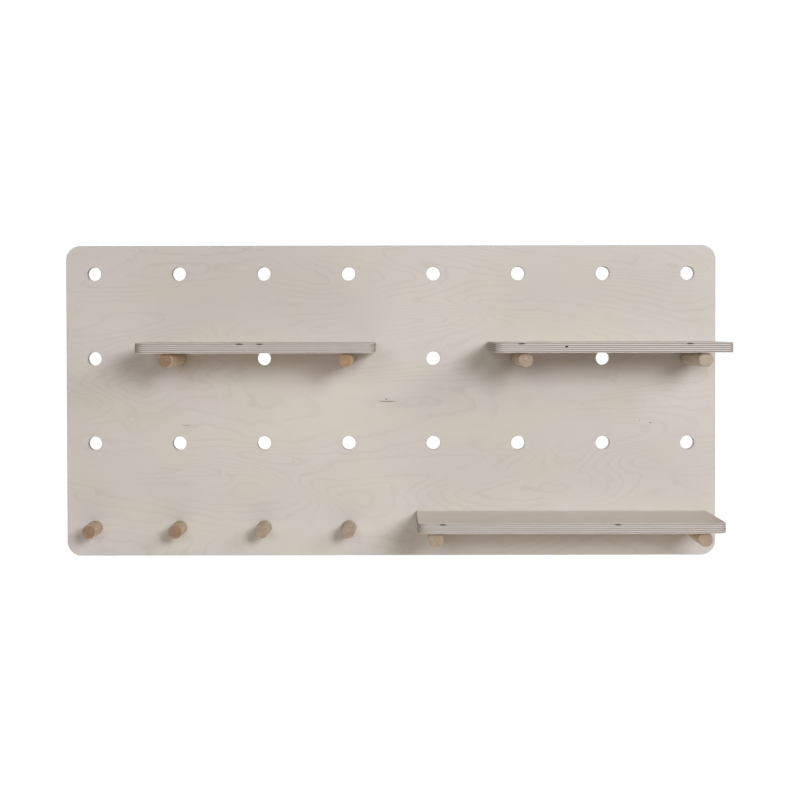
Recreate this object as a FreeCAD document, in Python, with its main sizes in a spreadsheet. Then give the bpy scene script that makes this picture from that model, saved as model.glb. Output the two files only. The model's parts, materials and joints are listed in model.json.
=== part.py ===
import FreeCAD, Part
import math
import os
import re

import Sketcher

# A plywood pegboard for a wall: one panel with a grid of round holes, dowel pegs pushed into
# the holes, three plywood shelves that lie on pairs of pegs, and four steel keyhole plates let
# into the back, by which it hangs on four screws in the wall.
#
# The origin is the middle of the panel's back face, which lies against the wall.
# X runs to the right, Z up, and the panel's front faces -Y. All lengths are millimetres.

Vector = FreeCAD.Vector
TOLERANCE = 1e-6

DIMENSIONS = [
    # alias, value, meaning
    ("columns", 8, "peg holes in each row"),
    ("rows", 4, "rows of peg holes"),
    ("pitch", 125, "between neighbouring hole centres, across and up"),
    ("margin", 41.5, "outermost hole centres to the panel's edge"),
    ("plywood", 12, "thickness of the panel"),
    ("shelf_plywood", 14.3, "thickness of the shelves"),
    ("panel_corner", 21, "radius of the panel's corners"),
    ("arris", 0.8, "break on the plywood's edges"),
    ("hole_bore", 20.2, "diameter of a peg hole"),
    ("hole_rim", 0.5, "break on both rims of a peg hole"),
    ("dowel", 20, "diameter of a peg"),
    ("dowel_end", 1, "break on a peg's ends"),
    ("hanging_peg", 62, "length of a peg that carries no shelf"),
    ("shelf_peg", 155, "length of a peg under a shelf"),
    ("shelf_depth", 155, "shelf, from its back edge to its front edge"),
    ("shelf_corner", 15, "radius of a shelf's front corners"),
    ("small_shelf", 332, "width of each of the two upper shelves"),
    ("large_shelf", 428, "width of the lower shelf"),
    ("shelf_lift", 0.1, "gap between a peg and the shelf on it"),
    ("shelf_back", 0.3, "gap between the panel and a shelf's back edge"),
    ("left_shift", -1, "upper left shelf's middle, from the middle of its two pegs"),
    ("right_shift", -3.5, "the same for the upper right shelf"),
    ("lower_shift", 1, "the same for the lower shelf"),
    ("plate_width", 16, "keyhole plate, across"),
    ("plate_height", 50, "keyhole plate, up"),
    ("plate_steel", 2, "thickness of a keyhole plate"),
    ("plate_sink", 0.2, "keyhole plate's face behind the panel's back face"),
    ("plate_play", 0.1, "gap around a keyhole plate in its recess"),
    ("plate_break", 0.2, "break on a keyhole plate's outer rim"),
    ("key_entry", 9.5, "round opening that the wall screw's head goes through"),
    ("key_slot", 4.6, "slot that the wall screw's neck slides up"),
    ("key_travel", 12, "middle of the round opening to the seat of the neck"),
    ("key_drop", 5, "middle of the round opening below the plate's middle"),
    ("pocket_width", 13, "room behind the plate for the wall screw's head"),
    ("pocket_depth", 8, "depth of that room from the panel's back face"),
    ("screw_spacing", 39, "between the two screws of a plate"),
    ("screw_shank", 3, "diameter of a plate screw"),
    ("screw_hole", 3.5, "diameter of its hole in the plate"),
    ("screw_head", 6, "diameter of its countersunk head"),
    ("screw_length", 9, "head's face to the tip"),
    ("screw_tip", 2.5, "length of the tapered tip"),
    ("pilot_depth", 10, "pilot hole, from the panel's back face"),
    ("cross_width", 0.9, "width of the cross recess's arms"),
    ("cross_span", 3.4, "length of the cross recess's arms"),
    ("cross_depth", 1.2, "depth of the cross recess"),
]

# Peg columns count from 1 at the left, peg rows from 1 at the top.
SHELVES = [
    # name, row, columns of its two pegs, width alias, sideways shift
    ("left_shelf", 2, (2, 4), "small_shelf", "left_shift"),
    ("right_shelf", 2, (6, 8), "small_shelf", "right_shift"),
    ("lower_shelf", 4, (5, 8), "large_shelf", "lower_shift"),
]
SHELF_PEG_SIDES = ("left", "right")
HANGING_PEG_ROW = 4
HANGING_PEG_COLUMNS = (1, 2, 3, 4)
# The keyhole plates sit halfway between four peg holes, so that nothing shows through a hole.
PLATE_PITCHES_ACROSS = 3
PLATE_PITCHES_UP = 1

doc = FreeCAD.newDocument("Pegboard")
sheet = doc.addObject("Spreadsheet::Sheet", "Dimensions")
for row, (alias, value, meaning) in enumerate(DIMENSIONS, start=1):
    sheet.set(f"A{row}", meaning)
    sheet.set(f"B{row}", str(value))
    sheet.setAlias(f"B{row}", alias)
doc.recompute()

ANY_ALIAS = re.compile(r"\b(" + "|".join(alias for alias, _, _ in DIMENSIONS) + r")\b")
PANEL_WIDTH = "((columns - 1) * pitch + 2 * margin)"
PANEL_HEIGHT = "((rows - 1) * pitch + 2 * margin)"
PLATE_X = f"({PLATE_PITCHES_ACROSS} * pitch)"
PLATE_Z = f"({PLATE_PITCHES_UP} * pitch)"


def size(formula):
    """The value of a formula written in the sheet's aliases, in millimetres."""
    return float(sheet.evalExpression(formula))


def bound(formula, unit=" * 1 mm"):
    """The same formula as an expression that other objects of the document can follow."""
    return f"({ANY_ALIAS.sub(r'Dimensions.\1', formula)}){unit}"


def follow(target, prop, formula):
    """Sets a length of an object and keeps it bound to the sheet."""
    target.setExpression(prop, bound(formula))


def follow_count(target, prop, formula):
    """Sets a number of an object and keeps it bound to the sheet."""
    target.setExpression(prop, bound(formula, ""))


# ---------------------------------------------------------------------------- sketches
# How a sketch's constraints name its own axes, its origin and the points of a curve.
H_AXIS = -1
V_AXIS = -2
ORIGIN = (-1, 1)
START, END, MIDDLE = 1, 2, 3


def origin_feature(body, role):
    return next(f for f in body.Origin.OriginFeatures if f.Role == role)


def new_body(label):
    body = doc.addObject("PartDesign::Body", label)
    body.Label = label
    return body


def new_sketch(body, name, plane):
    sketch = body.newObject("Sketcher::SketchObject", name)
    sketch.AttachmentSupport = [(origin_feature(body, plane), "")]
    sketch.MapMode = "FlatFace"
    return sketch


def dimension(sketch, kind, elements, formula):
    """Adds a dimension whose value follows a formula of the sheet."""
    index = sketch.addConstraint(Sketcher.Constraint(kind, *elements, size(formula)))
    sketch.setExpression(f"Constraints[{index}]", bound(formula))


def sketch_circle(sketch, diameter, right="0", up="0"):
    """A circle whose centre stands this far right of and above the sketch's origin."""
    centre = Vector(size(right), size(up), 0)
    circle = sketch.addGeometry(Part.Circle(centre, Vector(0, 0, 1), size(diameter) / 2), False)
    dimension(sketch, "Diameter", (circle,), diameter)
    for kind, formula, axis in (("DistanceX", right, V_AXIS), ("DistanceY", up, H_AXIS)):
        if formula == "0":
            sketch.addConstraint(Sketcher.Constraint("PointOnObject", circle, MIDDLE, axis))
        else:
            dimension(sketch, kind, (*ORIGIN, circle, MIDDLE), formula)


def sketch_rectangle(sketch, width, height, hung=False):
    """A rectangle about the sketch's origin, or hung below its horizontal axis."""
    half = size(width) / 2
    high = 0 if hung else size(height) / 2
    low = high - size(height)
    corners = [Vector(x, y, 0) for x, y in ((-half, low), (half, low), (half, high), (-half, high))]
    for i, corner in enumerate(corners):
        sketch.addGeometry(Part.LineSegment(corner, corners[(i + 1) % 4]), False)
    for side in range(4):
        sketch.addConstraint(Sketcher.Constraint("Coincident", side, END, (side + 1) % 4, START))
    for side, way in ((1, "Vertical"), (2, "Horizontal"), (3, "Vertical")):
        sketch.addConstraint(Sketcher.Constraint(way, side))
    if hung:
        sketch.addConstraint(Sketcher.Constraint("Symmetric", 0, START, 0, END, V_AXIS))
        sketch.addConstraint(Sketcher.Constraint("PointOnObject", 2, START, H_AXIS))
    else:
        sketch.addConstraint(Sketcher.Constraint("Horizontal", 0))
        sketch.addConstraint(Sketcher.Constraint("Symmetric", 0, START, 1, END, *ORIGIN))
    dimension(sketch, "DistanceX", (0, START, 0, END), width)
    dimension(sketch, "DistanceY", (1, START, 1, END), height)


def sketch_upright_slot(sketch, width, low, high, right="0"):
    """A round-ended slot: its two arcs are centred at heights low and high."""
    radius, x = size(width) / 2, size(right)
    normal = Vector(0, 0, 1)
    top = Part.Circle(Vector(x, size(high), 0), normal, radius)
    bottom = Part.Circle(Vector(x, size(low), 0), normal, radius)
    over = sketch.addGeometry(Part.ArcOfCircle(top, 0, math.pi), False)
    under = sketch.addGeometry(Part.ArcOfCircle(bottom, math.pi, 2 * math.pi), False)
    sides = []
    for across in (-radius, radius):
        foot = Vector(x + across, size(low), 0)
        head = Vector(x + across, size(high), 0)
        sides.append(sketch.addGeometry(Part.LineSegment(foot, head), False))
    left, right_side = sides
    for a, a_end, b, b_end in (
        (over, START, right_side, END),
        (over, END, left, END),
        (under, START, left, START),
        (under, END, right_side, START),
    ):
        sketch.addConstraint(Sketcher.Constraint("Tangent", a, a_end, b, b_end))
    dimension(sketch, "Radius", (over,), f"{width} / 2")
    for arc, formula in ((over, high), (under, low)):
        dimension(sketch, "DistanceY", (*ORIGIN, arc, MIDDLE), formula)
    if right == "0":
        sketch.addConstraint(Sketcher.Constraint("PointOnObject", over, MIDDLE, V_AXIS))
    else:
        dimension(sketch, "DistanceX", (*ORIGIN, over, MIDDLE), right)


# ---------------------------------------------------------------------------- features
def new_feature(body, kind, name):
    return body.newObject(f"PartDesign::{kind}", name)


def pad(body, sketch, name, length):
    feature = new_feature(body, "Pad", name)
    feature.Profile = sketch
    follow(feature, "Length", length)
    doc.recompute()
    return feature


def pocket(body, sketch, name, depth=None):
    """Cuts a sketch on the body's back towards -Y, right through unless a depth is given."""
    before = body.Shape.Volume
    feature = new_feature(body, "Pocket", name)
    feature.Profile = sketch
    feature.Reversed = True
    if depth:
        follow(feature, "Length", depth)
    else:
        feature.Type = "ThroughAll"
    doc.recompute()
    if body.Shape.Volume >= before:
        raise RuntimeError(f"{name} cuts nothing from {body.Label}")
    return feature


def edges_where(shape, test):
    return [f"Edge{i}" for i, edge in enumerate(shape.Edges, start=1) if test(edge)]


def soften(body, kind, name, length, test):
    """Fillets or chamfers the edges of the body that pass a test."""
    base = body.Tip
    names = edges_where(base.Shape, test)
    if not names:
        raise RuntimeError(f"{name} finds no edge on {body.Label}")
    feature = new_feature(body, kind, name)
    feature.Base = (base, names)
    follow(feature, "Radius" if kind == "Fillet" else "Size", length)
    doc.recompute()
    return feature


def repeat(body, originals, name, steps):
    """Repeats features along the body's axes. Each step is an axis, a spacing and a count."""
    transform = new_feature(body, "MultiTransform", name)
    transform.Originals = originals
    patterns = []
    for axis, spacing, count in steps:
        pattern = new_feature(body, "LinearPattern", f"{name}_{len(patterns) + 1}")
        pattern.Direction = (origin_feature(body, axis), [""])
        pattern.Mode = "Spacing"
        follow(pattern, "Offset", spacing)
        follow_count(pattern, "Occurrences", count)
        patterns.append(pattern)
    transform.Transformations = patterns
    body.Tip = transform
    doc.recompute()


def runs_along(edge, direction):
    ends = [v.Point for v in edge.Vertexes]
    return len(ends) == 2 and (ends[1] - ends[0]).cross(direction).Length < TOLERANCE


def is_upright(edge):
    return runs_along(edge, Vector(0, 0, 1))


def is_level_in_depth(edge):
    return runs_along(edge, Vector(0, 1, 0))


def is_at_back(edge):
    return abs(edge.BoundBox.YMax) < TOLERANCE and abs(edge.BoundBox.YMin) < TOLERANCE


def is_circle(edge, diameter):
    curve = edge.Curve
    return isinstance(curve, Part.Circle) and abs(curve.Radius - size(diameter) / 2) < TOLERANCE


def place(body, x="0", y="0", z="0"):
    for axis, formula in (("x", x), ("y", y), ("z", z)):
        follow(body, f"Placement.Base.{axis}", formula)


def hole_x(column):
    return f"({column} - (columns + 1) / 2) * pitch"


def hole_z(row):
    return f"((rows + 1) / 2 - {row}) * pitch"


# ---------------------------------------------------------------------------- sub-parts
def make_panel():
    """The panel: rounded corners, the grid of peg holes, and four recesses in its back."""
    body = new_body("pegboard_panel")
    outline = new_sketch(body, "panel_outline", "XZ_Plane")
    sketch_rectangle(outline, PANEL_WIDTH, PANEL_HEIGHT)
    pad(body, outline, "panel_pad", "plywood")
    soften(body, "Fillet", "panel_corners", "panel_corner", is_level_in_depth)
    soften(body, "Chamfer", "panel_arris", "arris", lambda edge: not is_level_in_depth(edge))

    first_hole = new_sketch(body, "first_hole", "XZ_Plane")
    sketch_circle(first_hole, "hole_bore", hole_x(1), hole_z("rows"))
    bored = pocket(body, first_hole, "first_bore")
    steps = (("X_Axis", "pitch", "columns"), ("Z_Axis", "pitch", "rows"))
    repeat(body, [bored], "peg_holes", steps)
    soften(body, "Chamfer", "hole_rims", "hole_rim", lambda edge: is_circle(edge, "hole_bore"))

    x, z = f"0 - {PLATE_X}", f"0 - {PLATE_Z}"
    straight = "(plate_height - plate_width) / 2"
    recess = new_sketch(body, "plate_recess", "XZ_Plane")
    sketch_upright_slot(
        recess, "(plate_width + 2 * plate_play)", f"{z} - {straight}", f"{z} + {straight}", x
    )
    recess_cut = pocket(body, recess, "plate_recess_cut", "plate_steel + plate_sink")
    room = new_sketch(body, "head_room", "XZ_Plane")
    sketch_upright_slot(
        room, "pocket_width", f"{z} - key_drop", f"{z} - key_drop + key_travel", x
    )
    room_cut = pocket(body, room, "head_room_cut", "pocket_depth")
    pilots = new_sketch(body, "screw_pilots", "XZ_Plane")
    for way in ("-", "+"):
        sketch_circle(pilots, "screw_shank", x, f"{z} {way} screw_spacing / 2")
    pilot_cut = pocket(body, pilots, "screw_pilot_cut", "pilot_depth")
    steps = (("X_Axis", f"2 * {PLATE_X}", "2"), ("Z_Axis", f"2 * {PLATE_Z}", "2"))
    repeat(body, [recess_cut, room_cut, pilot_cut], "plate_recesses", steps)
    return body


def make_shelf(name, row, peg_columns, width, shift):
    """A plywood shelf with two rounded front corners, lying on two pegs."""
    body = new_body(name)
    outline = new_sketch(body, f"{name}_outline", "XY_Plane")
    sketch_rectangle(outline, width, "shelf_depth", hung=True)
    pad(body, outline, f"{name}_pad", "shelf_plywood")
    front = -size("shelf_depth")
    soften(
        body,
        "Fillet",
        f"{name}_corners",
        "shelf_corner",
        lambda edge: is_upright(edge) and abs(edge.Vertexes[0].Y - front) < TOLERANCE,
    )
    soften(body, "Chamfer", f"{name}_arris", "arris", lambda edge: not is_upright(edge))
    place(
        body,
        x=f"({hole_x(peg_columns[0])} + {hole_x(peg_columns[1])}) / 2 + {shift}",
        y="0 - plywood - shelf_back",
        z=f"{hole_z(row)} + dowel / 2 + shelf_lift",
    )
    return body


def make_peg(name, row, column, length):
    """A dowel whose inner end is flush with the panel's back face."""
    body = new_body(name)
    section = new_sketch(body, f"{name}_section", "XZ_Plane")
    sketch_circle(section, "dowel")
    pad(body, section, f"{name}_pad", length)
    soften(body, "Chamfer", f"{name}_ends", "dowel_end", lambda edge: is_circle(edge, "dowel"))
    place(body, x=hole_x(column), z=hole_z(row))
    return body


def make_keyhole_plate(name, side, level):
    """A round-ended steel plate with a keyhole and two countersunk screw holes."""
    body = new_body(name)
    outline = new_sketch(body, f"{name}_outline", "XZ_Plane")
    straight = "(plate_height - plate_width) / 2"
    sketch_upright_slot(outline, "plate_width", f"0 - {straight}", straight)
    pad(body, outline, f"{name}_pad", "plate_steel")
    soften(body, "Chamfer", f"{name}_rim", "plate_break", is_at_back)
    entry = new_sketch(body, f"{name}_entry", "XZ_Plane")
    sketch_circle(entry, "key_entry", up="0 - key_drop")
    pocket(body, entry, f"{name}_entry_cut")
    slot = new_sketch(body, f"{name}_slot", "XZ_Plane")
    sketch_upright_slot(slot, "key_slot", "0 - key_drop", "key_travel - key_drop")
    pocket(body, slot, f"{name}_slot_cut")
    holes = new_sketch(body, f"{name}_screw_holes", "XZ_Plane")
    for way in ("-", "+"):
        sketch_circle(holes, "screw_hole", up=f"0 {way} screw_spacing / 2")
    pocket(body, holes, f"{name}_screw_holes_cut")
    soften(
        body,
        "Chamfer",
        f"{name}_countersinks",
        "(screw_head - screw_hole) / 2",
        lambda edge: is_circle(edge, "screw_hole") and is_at_back(edge),
    )
    place(body, x=f"{side} * {PLATE_X}", y="0 - plate_sink", z=f"{level} * {PLATE_Z}")
    return body


def make_plate_screws():
    """The eight countersunk screws of the four keyhole plates, as separate solids."""
    body = new_body("plate_screws")
    body.AllowCompound = True
    profile = new_sketch(body, "screw_profile", "XY_Plane")
    corners = [
        ("0", "0"),
        ("screw_head / 2", "0"),
        ("screw_shank / 2", "0 - (screw_head - screw_shank) / 2"),
        ("screw_shank / 2", "screw_tip - screw_length"),
        ("0", "0 - screw_length"),
    ]
    points = [Vector(size(x), size(y), 0) for x, y in corners]
    for i, point in enumerate(points):
        after = (i + 1) % len(points)
        profile.addGeometry(Part.LineSegment(point, points[after]), False)
    for i, (x, y) in enumerate(corners):
        before = (i - 1) % len(points)
        profile.addConstraint(Sketcher.Constraint("Coincident", before, END, i, START))
        for kind, formula, axis in (("DistanceX", x, V_AXIS), ("DistanceY", y, H_AXIS)):
            if formula == "0":
                profile.addConstraint(Sketcher.Constraint("PointOnObject", i, START, axis))
            else:
                dimension(profile, kind, (*ORIGIN, i, START), formula)
    turned = new_feature(body, "Revolution", "screw_turned")
    turned.Profile = profile
    turned.ReferenceAxis = (profile, ["V_Axis"])
    turned.Angle = 360
    doc.recompute()
    arms = []
    for name, width, height in (
        ("cross_level", "cross_span", "cross_width"),
        ("cross_upright", "cross_width", "cross_span"),
    ):
        arm = new_sketch(body, name, "XZ_Plane")
        sketch_rectangle(arm, width, height)
        arms.append(pocket(body, arm, f"{name}_cut", "cross_depth"))
    steps = (
        ("X_Axis", f"2 * {PLATE_X}", "2"),
        ("Z_Axis", "screw_spacing", "2"),
        ("Z_Axis", f"2 * {PLATE_Z}", "2"),
    )
    repeat(body, [turned, *arms], "screw_groups", steps)
    place(
        body,
        x=f"0 - {PLATE_X}",
        y="0 - plate_sink",
        z=f"0 - {PLATE_Z} - screw_spacing / 2",
    )
    doc.recompute()
    return body


nodes = [make_panel()]
for shelf_name, shelf_row, peg_columns, shelf_width, shift in SHELVES:
    nodes.append(make_shelf(shelf_name, shelf_row, peg_columns, shelf_width, shift))
    for side, column in zip(SHELF_PEG_SIDES, peg_columns):
        nodes.append(make_peg(f"{shelf_name}_{side}_peg", shelf_row, column, "shelf_peg"))
for column in HANGING_PEG_COLUMNS:
    nodes.append(make_peg(f"hanging_peg_{column}", HANGING_PEG_ROW, column, "hanging_peg"))
for level_name, level in (("upper", 1), ("lower", -1)):
    for side_name, side in (("left", -1), ("right", 1)):
        nodes.append(make_keyhole_plate(f"{level_name}_{side_name}_keyhole_plate", side, level))
nodes.append(make_plate_screws())
doc.recompute()

for item in doc.Objects:
    if {"Invalid", "Error"} & set(item.State):
        raise RuntimeError(f"{item.Label} failed: {item.State}")

os.makedirs("parts", exist_ok=True)
for body in nodes:
    if body.Shape.isNull() or not body.Shape.isValid():
        raise RuntimeError(f"{body.Label} has no valid shape")
    body.Shape.exportStep(f"parts/{body.Label}.step")
    print(f"{body.Label}: {len(body.Shape.Solids)} solid(s), {body.Shape.Volume:.1f} mm3")
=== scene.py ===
import json
import math

import bpy
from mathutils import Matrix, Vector


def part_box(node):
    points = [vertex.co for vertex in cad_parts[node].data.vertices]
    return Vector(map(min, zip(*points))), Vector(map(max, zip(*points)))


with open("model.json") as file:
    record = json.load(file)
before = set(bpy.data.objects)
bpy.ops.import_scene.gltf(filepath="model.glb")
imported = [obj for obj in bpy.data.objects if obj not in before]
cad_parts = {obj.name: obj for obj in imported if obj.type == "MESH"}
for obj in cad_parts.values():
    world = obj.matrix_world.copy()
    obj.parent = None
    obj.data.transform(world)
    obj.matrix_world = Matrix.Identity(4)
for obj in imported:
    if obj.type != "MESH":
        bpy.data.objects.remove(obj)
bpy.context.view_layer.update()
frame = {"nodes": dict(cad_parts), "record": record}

# The wall board's finish: birch plywood, hardwood dowels and zinc-plated steel, in a soft studio.
# Materials work in millimetres, in each node's own coordinates. Everything else is in metres.

MM = 0.001

PANEL_LOW, PANEL_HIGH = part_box("pegboard_panel")


# ---------------------------------------------------------------- node trees written as formulas

class Wire:
    """A value that varies over a surface. Arithmetic on wires adds Math nodes to their tree."""

    def __init__(self, tree, socket):
        self.tree = tree
        self.socket = socket

    def __add__(self, other):
        return self.tree.math("ADD", self, other)

    def __radd__(self, other):
        return self.tree.math("ADD", other, self)

    def __sub__(self, other):
        return self.tree.math("SUBTRACT", self, other)

    def __rsub__(self, other):
        return self.tree.math("SUBTRACT", other, self)

    def __mul__(self, other):
        return self.tree.math("MULTIPLY", self, other)

    def __truediv__(self, other):
        return self.tree.math("DIVIDE", self, other)

    def __pow__(self, other):
        return self.tree.math("POWER", self, other)


class Tree:
    """A material's node tree and short ways to add to it."""

    def __init__(self, name):
        self.material = bpy.data.materials.new(name)
        self.material.use_nodes = True
        self.nodes = self.material.node_tree.nodes
        self.links = self.material.node_tree.links
        self.nodes.clear()
        coordinates = self.nodes.new("ShaderNodeTexCoord")
        self.x, self.y, self.z = self.split(coordinates.outputs["Object"])
        self.x, self.y, self.z = self.x / MM, self.y / MM, self.z / MM
        self.normal_x, self.normal_y, self.normal_z = self.split(coordinates.outputs["Normal"])

    def put(self, socket, value):
        if isinstance(value, Wire):
            self.links.new(value.socket, socket)
        elif isinstance(value, tuple) and len(value) == 3 and socket.type == "RGBA":
            socket.default_value = (*value, 1)
        else:
            socket.default_value = value

    def split(self, socket):
        made = self.nodes.new("ShaderNodeSeparateXYZ")
        self.links.new(socket, made.inputs[0])
        return [Wire(self, made.outputs[axis]) for axis in range(3)]

    def point(self, x, y, z):
        made = self.nodes.new("ShaderNodeCombineXYZ")
        for socket, value in zip(made.inputs, (x, y, z)):
            self.put(socket, value)
        return Wire(self, made.outputs[0])

    def math(self, operation, *values):
        made = self.nodes.new("ShaderNodeMath")
        made.operation = operation
        for socket, value in zip(made.inputs, values):
            self.put(socket, value)
        return Wire(self, made.outputs[0])

    def ease(self, value, start, end):
        """0 before start, 1 after end and a smooth step between. Start may be the larger."""
        made = self.nodes.new("ShaderNodeMapRange")
        made.interpolation_type = "SMOOTHSTEP"
        for socket, given in zip(made.inputs, (value, start, end, 0.0, 1.0)):
            self.put(socket, given)
        return Wire(self, made.outputs[0])

    def noise(self, point, detail=1.0, roughness=0.5, distortion=0.0):
        """Smooth noise about 0.5, with cells one unit across."""
        made = self.nodes.new("ShaderNodeTexNoise")
        self.put(made.inputs["Vector"], point)
        made.inputs["Scale"].default_value = 1
        made.inputs["Detail"].default_value = detail
        made.inputs["Roughness"].default_value = roughness
        made.inputs["Distortion"].default_value = distortion
        return Wire(self, made.outputs["Fac"])

    def stretched(self, along, across, size, offset, detail=1.0, roughness=0.5):
        """Noise drawn out along the grain, whose cells have the given length and width."""
        length, width = size
        return self.noise(self.point(along / length, across / width, offset), detail, roughness)

    def chance(self, number):
        """A random number from 0 to 1 that belongs to a whole number."""
        made = self.nodes.new("ShaderNodeTexWhiteNoise")
        made.noise_dimensions = "1D"
        self.put(made.inputs["W"], number)
        return Wire(self, made.outputs["Value"])

    def mix(self, share, first, second, blend="MIX"):
        """A colour between two, or the first blended with the second."""
        made = self.nodes.new("ShaderNodeMix")
        made.data_type = "RGBA"
        made.blend_type = blend
        sockets = [s for s in made.inputs if s.enabled]
        for socket, value in zip(sockets, (share, first, second)):
            self.put(socket, value)
        return Wire(self, next(s for s in made.outputs if s.enabled))

    def between(self, share, first, second):
        """A number between two, by the given share of the way."""
        return first + share * (second - first)

    def scaled(self, colour, amount):
        """The colour made lighter or darker."""
        return self.mix(1.0, colour, self.point(amount, amount, amount), "MULTIPLY")

    def surface(self, colour, roughness, height, metallic=0.0, specular=0.4):
        """Ends the tree. The height is in millimetres."""
        dent = self.nodes.new("ShaderNodeBump")
        dent.inputs["Strength"].default_value = 1
        dent.inputs["Distance"].default_value = MM
        self.put(dent.inputs["Height"], height)
        shader = self.nodes.new("ShaderNodeBsdfPrincipled")
        self.put(shader.inputs["Base Color"], colour)
        self.put(shader.inputs["Roughness"], roughness)
        shader.inputs["Metallic"].default_value = metallic
        shader.inputs["Specular IOR Level"].default_value = specular
        self.links.new(dent.outputs["Normal"], shader.inputs["Normal"])
        output = self.nodes.new("ShaderNodeOutputMaterial")
        self.links.new(shader.outputs["BSDF"], output.inputs["Surface"])
        return self.material


# ---------------------------------------------------------------- birch plywood

FACE_LINE = (0.46, 0.41, 0.35)
FACE_PINK = (0.605, 0.545, 0.505)
FACE_STRAW = (0.60, 0.555, 0.48)
LONG_GRAIN = (0.72, 0.675, 0.64)
END_GRAIN = (0.335, 0.295, 0.27)
GLUE = (0.22, 0.175, 0.14)
DARK_KNOT = (0.10, 0.07, 0.05)
# The gaps' colour is painted shade: the dark inside of a gap in the plies.
VOID_SHADE = (0.025, 0.020, 0.016)

PANEL_PLIES = 9
SHELF_PLIES = 11
FACE_VENEER = 0.95      # the two outer plies are sanded, so they are thinner than the others

# The wood's patterns, each with its size along the grain and across it, in millimetres.
FIBRE = (28, 0.55)
FIBRE_DEPTH = 0.5       # a fibre's size through the board
WANDER = (45, 12)
WAVER = (26, 30)
RELIEF = (320, 85)
RING_FADE = (150, 60)
PATCH = (120, 70)
CLOUD = (45, 22)
PORE = (2.2, 0.16)

RELIEF_RINGS = 20       # growth rings between the relief's lowest and highest level
RING_SLOPE = 34         # a steady slope adds one more ring in this distance across the grain
LATE_START = 0.95       # a ring's dark line starts at this share of the ring's width
LATE_END = 0.34         # and has faded out at this share of the next one's

LINE_DARKNESS = 0.28
PORE_DARKNESS = 0.25
GLUE_DARKNESS = 0.55
KNOT_DARKNESS = 0.72
RUB_AND_SHADE_REACH = 3.2           # how far from a hole's rim its worn ring, with painted shade, reaches
VOID_REACH = 3.0        # how far in from the front edge a gap goes
VOID_HEIGHT = 1.6       # a gap's height, in plies


def flaw(tree, along, across, centre, length, width, soft=0.7):
    """1 inside a thin lens along the grain, 0 outside it."""
    u = (along - centre[0]) / (length / 2)
    v = (across - centre[1]) / (width / 2)
    return tree.ease(u * u + v * v, 1.0, 1.0 - soft)


def growth_rings(tree, along, across, seed, back):
    """How dark each point's growth ring is, from 0 to 1, and how far the grain wanders there.

    A rotary-cut face shows the rings as level curves of a gentle relief. The back has its own.
    """
    wander = tree.stretched(along, across, WANDER, seed + 3.0, 2.0, 0.6) - 0.5
    waver = tree.stretched(along, across, WAVER, seed + 4.0, 2.0, 0.6) - 0.5
    length, width = RELIEF
    place = tree.point(along / length + seed, across / width, seed * 1.7 + back * 5.0)
    relief = tree.noise(place, 1.2, 0.4, 0.4)
    rings = tree.math("FRACT", relief * RELIEF_RINGS + across / RING_SLOPE + waver + wander * 0.5)
    late = tree.ease(rings, LATE_END, 0.0) + tree.ease(rings, LATE_START, 1.0)
    fade = tree.stretched(along, across, RING_FADE, seed + 8.0)
    return tree.math("MINIMUM", late, 1.0) * tree.ease(fade, 0.3, 0.62), wander


def rubbed_and_shaded_rim(tree, along, across, holes):
    """How much hands have rubbed round the nearest hole of a grid, with painted shade at the rim, from 0 to
    1.
    """
    pitch, first_x, first_z, radius = holes
    column = tree.math("ROUND", (along - first_x) / pitch)
    row = tree.math("ROUND", (across - first_z) / pitch)
    off_x = along - first_x - column * pitch
    off_z = across - first_z - row * pitch
    reach = tree.math("SQRT", off_x * off_x + off_z * off_z)
    return tree.ease(reach, radius + RUB_AND_SHADE_REACH, radius)


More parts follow.
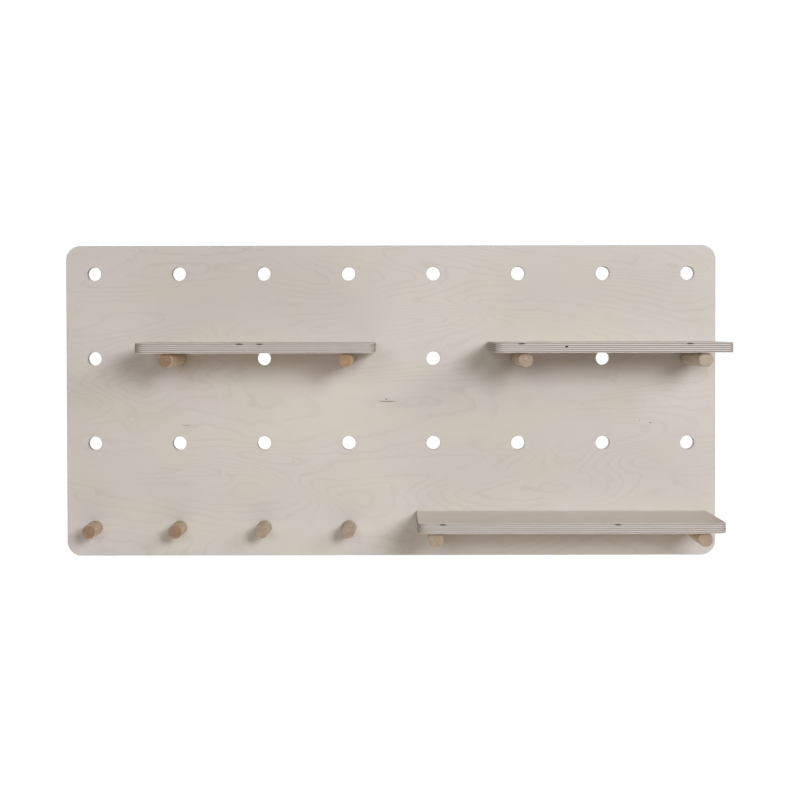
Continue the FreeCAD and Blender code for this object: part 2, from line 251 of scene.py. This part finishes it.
def plywood(name, seed, box, lies_flat, plies, face_tone_and_painted_light=1.0, edge_tone=1.0, dullness=0.58,
            marks=(), voids=(), holes=None):
    """Birch plywood with its face grain along X.

    A board that lies flat has its best face up, and one that stands has it towards -Y.
    Marks are dark flecks in the best face: (along, across, length, width).
    Voids are gaps in the plies, seen in the front edge and painted near-black as their shade: (along, ply,
    length).
    Holes are a grid whose rims are worn and painted darker as shade: its pitch, one hole's X and Z, and the
    radius.
    """
    tree = Tree(name)
    along = tree.x
    low, high = (corner / MM for corner in box)
    if lies_flat:
        thickness = high.z - low.z
        depth, across, across_normal = high.z - tree.z, tree.y, tree.normal_y
    else:
        thickness = high.y - low.y
        depth, across, across_normal = tree.y - low.y, tree.z, tree.normal_z
    ply_height = (thickness - 2 * FACE_VENEER) / (plies - 2)

    # 0 on the two faces and 1 on the edges, then 0 in the best half and 1 in the other.
    to_face = tree.math("MINIMUM", depth, thickness - depth)
    edge = tree.ease(to_face, 0.15, 0.5)
    back = tree.ease(depth, thickness / 2 - 1, thickness / 2 + 1)

    # Each layer of veneer, its own tone, and how far its grain points out of the surface.
    level = (depth - FACE_VENEER) / ply_height + 1
    layer = tree.math("FLOOR", level)
    crossed = tree.math("MODULO", layer, 2.0)
    within = tree.math("FRACT", level)
    tone = tree.chance(layer + seed * 10.0)
    end = tree.between(crossed, tree.normal_x * tree.normal_x, across_normal * across_normal)
    end = tree.ease(end, 0.15, 0.85)

    # The fibres run through the wood, so an end cut shows them as specks.
    long, thin = FIBRE
    through = depth / FIBRE_DEPTH
    fibre_along = tree.noise(tree.point(along / long + seed, across / thin, through), 2.0, 0.6)
    fibre_across = tree.noise(tree.point(along / thin, across / long + seed, through), 2.0, 0.6)
    fibre = tree.between(crossed, fibre_along, fibre_across)

    # The faces: pink and straw patches, growth rings, fibres and pores.
    late, wander = growth_rings(tree, along, across, seed, back)
    patch = tree.stretched(along, across, PATCH, seed + 5.0)
    cloud = tree.stretched(along, across, CLOUD, seed + 6.0, 2.0)
    pores = tree.ease(tree.stretched(along, across, PORE, seed + 11.0, 0.0), 0.70, 0.80)
    face = tree.mix(tree.ease(patch, 0.35, 0.65), FACE_PINK, FACE_STRAW)
    face = tree.mix(late * LINE_DARKNESS, face, FACE_LINE)
    face = tree.scaled(face, 0.955 + fibre_along * 0.06 + cloud * 0.03)
    face = tree.mix(pores * PORE_DARKNESS, face, FACE_LINE)

    # The edge: plies by turns along and across the grain, with glue between them.
    glue = tree.ease(tree.math("ABSOLUTE", within - 0.5), 0.44, 0.49)
    long_cut = tree.scaled(tree.mix(fibre, LONG_GRAIN, FACE_LINE), 0.98 + tone * 0.1)
    end_cut = tree.scaled(tree.mix(tree.ease(fibre, 0.35, 0.7), END_GRAIN, GLUE), 0.95 + tone * 0.3)
    cut = tree.mix(end, long_cut, end_cut)
    cut = tree.mix(glue * GLUE_DARKNESS, cut, GLUE)

    colour = tree.mix(edge, face, cut)
    height = tree.between(edge, fibre_along * 0.05 - late * 0.03 - pores * 0.05,
                          fibre * 0.12 - glue * 0.05 - end * 0.05)
    roughness = tree.between(edge, dullness + fibre_along * 0.12, 0.78)

    # Handling polishes the rims of the peg holes. Their darkening is partly wear and partly painted shade of
    # the gap round the pegs.
    if holes:
        rub_and_shade = rubbed_and_shaded_rim(tree, along, across, holes) * (0.4 + cloud) * (1 - edge)
        colour = tree.scaled(colour, 1 - rub_and_shade * 0.06)
        roughness = roughness - rub_and_shade * 0.12

    # The soft arris round the face is worn a little paler, and part of that paleness is a painted highlight
    # along the edge.
    arris_wear_and_highlight = tree.ease(to_face, 0.02, 0.3) * tree.ease(to_face, 1.1, 0.5)
    colour = tree.scaled(colour, 1 + arris_wear_and_highlight * cloud * 0.24)

    front_side = tree.ease(depth, 0.6, 0.2)
    for place, spread, length, width in marks:
        dark = flaw(tree, along, across + wander * 1.4, (place, spread), length, width) * front_side
        colour = tree.mix(dark * KNOT_DARKNESS, colour, DARK_KNOT)
        height = height - dark * 0.15
    # Each gap is painted near-black: painted shade for the dark inside of the gap, with a shallow dent.
    for place, ply, length in voids:
        middle = FACE_VENEER + (ply - 0.5) * ply_height
        gap_shade = flaw(tree, along, depth, (place, middle), length, ply_height * VOID_HEIGHT, soft=0.4)
        gap_shade = gap_shade * tree.ease(across, low.y + VOID_REACH, low.y + 1.0)
        colour = tree.mix(gap_shade, colour, VOID_SHADE)
        height = height - gap_shade * 0.8
    # The shelves' faces are painted paler here: painted light standing in for the light their tops catch.
    colour = tree.scaled(colour, tree.between(edge, face_tone_and_painted_light, edge_tone))
    return tree.surface(colour, roughness, height)


# ---------------------------------------------------------------- dowels

DOWEL_TONES = {
    # name: side, end
    "pale": ((0.55, 0.48, 0.39), (0.42, 0.355, 0.275)),
    "tan": ((0.54, 0.45, 0.33), (0.365, 0.275, 0.205)),
    "honey": ((0.54, 0.42, 0.28), (0.32, 0.20, 0.108)),
    "russet": ((0.53, 0.41, 0.28), (0.295, 0.18, 0.115)),
    "chestnut": ((0.50, 0.38, 0.26), (0.25, 0.148, 0.095)),
}
RING = (0.30, 0.20, 0.13)

# The dowels' patterns, each with its size along the peg and across it, in millimetres.
PEG_WANDER = (70, 9)
PEG_FIBRE = (22, 0.4)
PEG_STREAK = (34, 2.2)
PEG_PORE = (5, 0.5)
PEG_CLOUD = (30, 6)

PITH_DISTANCE = 34      # the pith lies outside the peg, as in wood sawn from a thick trunk
PITH_TURN = 2.4         # radians from one peg's pith to the next one's
RING_WIDTH = 1.9
RIM = (1.4, 0.5)        # how far from the outside the handled rim starts, and where it is darkest


def along_peg(tree, across, up, size, seed, detail=2.0, roughness=0.5):
    """Noise drawn out along a peg, whose cells have the given length and width."""
    length, width = size
    place = tree.point(across / width, tree.y / length + seed, up / width)
    return tree.noise(place, detail, roughness)


def dowel(name, seed, low, high, tone):
    """A turned peg whose grain runs along Y."""
    tree = Tree(name)
    middle = (low + high) / 2 / MM
    across = tree.x - middle.x
    up = tree.z - middle.z
    end = tree.ease(tree.math("ABSOLUTE", tree.normal_y), 0.6, 0.95)

    turn = seed * PITH_TURN
    pith_x, pith_z = PITH_DISTANCE * math.cos(turn), PITH_DISTANCE * math.sin(turn)
    length, width = PEG_WANDER
    wander = tree.noise(tree.point(across / width + seed, tree.y / length, up / width), 2.0) - 0.5
    from_pith = tree.math("SQRT", (across - pith_x) ** 2.0 + (up - pith_z) ** 2.0)
    rings = tree.math("FRACT", from_pith / RING_WIDTH + wander * 0.9)
    late = tree.ease(rings, 0.55, 0.95)
    fibre = along_peg(tree, across, up, PEG_FIBRE, seed, roughness=0.6)
    streak = along_peg(tree, across, up, PEG_STREAK, seed, roughness=0.6)
    pores = tree.ease(along_peg(tree, across, up, PEG_PORE, seed, detail=0.0), 0.60, 0.74)
    cloud = along_peg(tree, across, up, PEG_CLOUD, seed)

    side, cut = DOWEL_TONES[tone]
    colour = tree.mix(end, side, cut)
    colour = tree.mix(late * (0.26 + end * 0.36), colour, RING)
    colour = tree.mix(pores * 0.6, colour, RING)
    colour = tree.scaled(colour, 0.32 + fibre * 0.20 + streak * 0.60 + cloud * 0.60)

    # The chamfered rim of each end is handled most.
    out = tree.math("SQRT", across * across + up * up)
    radius = (high.x - low.x) / MM / 2
    rim = tree.ease(out, radius - RIM[0], radius - RIM[1]) * end
    colour = tree.scaled(colour, 1 - rim * 0.22)
    height = fibre * 0.06 - pores * 0.08 - late * end * 0.05
    roughness = 0.52 + fibre * 0.12 + end * 0.15
    return tree.surface(colour, roughness, height)


# ---------------------------------------------------------------- steel

ZINC = (0.66, 0.67, 0.68)
DULL_ZINC = (0.47, 0.46, 0.43)
BRUSH_X, BRUSH_Y = 0.12, 0.3        # a brush stroke's width in the plate's face and edge
SPOT = 3                            # the size of the dull spots


def steel(name, seed, brushing):
    """Zinc-plated steel with dull spots, brushed along Z in strokes of the given length."""
    tree = Tree(name)
    stroke = tree.point(tree.x / BRUSH_X + seed, tree.y / BRUSH_Y, tree.z / brushing)
    brush = tree.noise(stroke, 3.0, 0.6)
    spots = tree.noise(tree.point(tree.x / SPOT + seed, tree.y / SPOT, tree.z / SPOT), 3.0, 0.6)
    dull = tree.ease(spots, 0.52, 0.72)
    colour = tree.mix(dull * 0.6, ZINC, DULL_ZINC)
    colour = tree.scaled(colour, 0.92 + brush * 0.14)
    roughness = 0.36 + brush * 0.16 + dull * 0.2
    return tree.surface(colour, roughness, brush * 0.02 - dull * 0.01, metallic=1.0, specular=0.5)


# ---------------------------------------------------------------- dressing the CAD nodes

def dress(name, material):
    """Gives a CAD node its material."""
    slots = frame["nodes"][name].data.materials
    slots.clear()
    slots.append(material)


def hole_grid():
    """The pitch, one hole's place and the radius, in millimetres, from the record's bore mounts."""
    bores = [mount for mount in frame["record"]["mounts"] if mount["kind"] == "bore"]
    places = [(mount["pos_m"][0] / MM, mount["pos_m"][2] / MM) for mount in bores]
    columns = sorted({round(x, 3) for x, z in places})
    any_z = places[0][1]
    return columns[1] - columns[0], columns[0], any_z, bores[0]["dims"]["r_mm"]


PANEL_MARKS = [
    # along, across, length, width
    (-6, -1, 32, 1.7),
    (-7, 2.3, 5, 2.5),
    (-302, -36, 16, 1.1),
    (383, -33, 5, 2.3),
    (367, -30, 3, 1.2),
]
dress("pegboard_panel", plywood(
    "birch_panel", 1.0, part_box("pegboard_panel"), False, PANEL_PLIES, marks=PANEL_MARKS, holes=hole_grid()))

# Each shelf's gaps: the share of its width from the left, the ply and the length.
SHELF_VOIDS = {
    "left_shelf": [(0.44, 1, 12), (0.523, 1, 9)],
    "right_shelf": [(0.113, 1, 11), (0.30, 4, 5), (0.813, 1, 12)],
    "lower_shelf": [(0.082, 1, 11), (0.646, 1, 12)],
}
SHELF_FACE_PAINTED_LIGHT, SHELF_EDGE, SHELF_DULLNESS = 1.22, 0.98, 0.38      # faces smoother than the panel's, and painted paler as painted light for the light on the shelves' tops
for seed, (name, gaps) in enumerate(SHELF_VOIDS.items(), start=2):
    box = low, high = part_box(name)
    voids = [((low.x + share * (high.x - low.x)) / MM, ply, length) for share, ply, length in gaps]
    dress(name, plywood(
        f"birch_{name}", float(seed), box, True, SHELF_PLIES,
        face_tone_and_painted_light=SHELF_FACE_PAINTED_LIGHT, edge_tone=SHELF_EDGE, dullness=SHELF_DULLNESS, voids=voids))

PEG_TONES = {
    "hanging_peg_1": "russet",
    "hanging_peg_2": "russet",
    "hanging_peg_3": "tan",
    "hanging_peg_4": "tan",
    "left_shelf_left_peg": "chestnut",
    "left_shelf_right_peg": "honey",
    "right_shelf_left_peg": "tan",
    "right_shelf_right_peg": "pale",
    "lower_shelf_left_peg": "tan",
    "lower_shelf_right_peg": "tan",
}
for seed, (name, tone) in enumerate(PEG_TONES.items()):
    dress(name, dowel(f"dowel_{name}", float(seed), *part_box(name), tone))

PLATE_STROKE, SCREW_STROKE = 9.0, 0.8       # millimetres
PLATE_SEEDS = {"upper_left": 2.0, "upper_right": 0.0, "lower_left": 3.0, "lower_right": 1.0}
for corner, seed in PLATE_SEEDS.items():
    dress(f"{corner}_keyhole_plate", steel(f"zinc_{corner}", seed, PLATE_STROKE))
dress("plate_screws", steel("zinc_screws", 7.0, SCREW_STROKE))


# ---------------------------------------------------------------- floor, light and camera

def quad(name, corners):
    """One flat face with the given corners."""
    mesh = bpy.data.meshes.new(name)
    mesh.from_pydata(corners, [], [range(len(corners))])
    made = bpy.data.objects.new(name, mesh)
    bpy.context.scene.collection.objects.link(made)
    return made


FLOOR_Z = -1.9
FLOOR_SIDE, FLOOR_FRONT, FLOOR_BACK = 4.0, -5.0, 2.6
floor = quad("floor", [
    (-FLOOR_SIDE, FLOOR_FRONT, FLOOR_Z), (FLOOR_SIDE, FLOOR_FRONT, FLOOR_Z),
    (FLOOR_SIDE, FLOOR_BACK, FLOOR_Z), (-FLOOR_SIDE, FLOOR_BACK, FLOOR_Z)])
PALE = (0.86, 0.85, 0.83)
MOTTLE = 400            # the size of the floor's faint patches, in millimetres
pale = Tree("pale_floor")
mottle = pale.noise(pale.point(pale.x / MOTTLE, pale.y / MOTTLE, pale.z), 3.0)
floor.data.materials.append(pale.surface(
    pale.scaled(PALE, 0.97 + mottle * 0.06), 0.7 + mottle * 0.1, mottle * 0.1))


def soft_box(name, place, aim, size, watts, colour):
    """A round lamp with a soft edge to its shadows. The camera doesn't see the lamp itself."""
    light = bpy.data.lights.new(name, "AREA")
    light.shape = "DISK"
    light.size = size
    light.energy = watts
    light.color = colour
    lamp = bpy.data.objects.new(name, light)
    lamp.location = place
    lamp.rotation_euler = (Vector(aim) - Vector(place)).to_track_quat("-Z", "Y").to_euler()
    lamp.visible_camera = False
    bpy.context.scene.collection.objects.link(lamp)


CENTRE = (PANEL_LOW + PANEL_HIGH) / 2
LIGHTS = {
    # name: place, size, watts, colour
    "key_light": ((0.96, -3.1, 0.74), 0.86, 51, (0.96, 1.0, 1.06)),
    "side_light": ((2.3, -2.6, 1.3), 1.2, 27, (0.95, 1.0, 1.08)),
    "fill_light": ((-0.95, -5.6, 1.0), 1.5, 54, (0.92, 1.0, 1.03)),
    "back_light": ((-1.5, 3.6, 0.7), 2.0, 120, (1.0, 1.0, 1.0)),
}
for name, (place, size, watts, colour) in LIGHTS.items():
    soft_box(name, place, CENTRE, size, watts, colour)

# The floor sends this one's light back up, under the shelves and pegs.
BEFORE_BOARD = (0.1, -0.7)
soft_box("floor_light", (*BEFORE_BOARD, -1.0), (*BEFORE_BOARD, FLOOR_Z), 4.4, 20, (1.15, 1.0, 0.9))


AMBIENT_TOP = 0.20      # how strong the light from straight above is. From straight below it is 0.
AMBIENT_TINT = (1.25, 1.0, 0.8, 1)
BACKDROP = 1.05         # just past white


def studio():
    """A white backdrop behind the object, and soft light from all round, stronger from above."""
    world = bpy.data.worlds.new("studio")
    bpy.context.scene.world = world
    world.use_nodes = True
    nodes, links = world.node_tree.nodes, world.node_tree.links
    nodes.clear()
    coordinates = nodes.new("ShaderNodeTexCoord")
    split = nodes.new("ShaderNodeSeparateXYZ")
    links.new(coordinates.outputs["Generated"], split.inputs[0])
    rise = nodes.new("ShaderNodeMapRange")
    links.new(split.outputs["Z"], rise.inputs["Value"])
    for socket, value in zip(rise.inputs[1:], (-1, 1, 0.0, AMBIENT_TOP)):
        socket.default_value = value
    around = nodes.new("ShaderNodeBackground")
    links.new(rise.outputs[0], around.inputs["Strength"])
    around.inputs["Color"].default_value = AMBIENT_TINT
    backdrop = nodes.new("ShaderNodeBackground")
    backdrop.inputs["Strength"].default_value = BACKDROP
    backdrop.inputs["Color"].default_value = (1, 1, 1, 1)
    path = nodes.new("ShaderNodeLightPath")
    blend = nodes.new("ShaderNodeMixShader")
    links.new(path.outputs["Is Camera Ray"], blend.inputs["Fac"])
    links.new(around.outputs[0], blend.inputs[1])
    links.new(backdrop.outputs[0], blend.inputs[2])
    output = nodes.new("ShaderNodeOutputWorld")
    links.new(blend.outputs[0], output.inputs["Surface"])


studio()
bpy.context.scene.view_settings.view_transform = "Standard"

CAMERA_DISTANCE, CAMERA_X, CAMERA_Z = 2.318, 0.0083, 0.1063
PITCH_DOWN, ROLL = 1.0, 0.1                 # degrees
SENSOR, LENS = 36, 70.65                    # millimetres
SHIFT_RIGHT, SHIFT_UP = 0.0043, -0.0549     # shares of the picture's width
camera_data = bpy.data.cameras.new("camera")
camera_data.sensor_width = SENSOR
camera_data.lens = LENS
camera_data.shift_x = SHIFT_RIGHT
camera_data.shift_y = SHIFT_UP
camera = bpy.data.objects.new("camera", camera_data)
camera.location = (CAMERA_X, PANEL_LOW.y - CAMERA_DISTANCE, CAMERA_Z)
camera.rotation_euler = (math.radians(90 - PITCH_DOWN), math.radians(ROLL), 0)
bpy.context.scene.collection.objects.link(camera)
bpy.context.scene.camera = camera
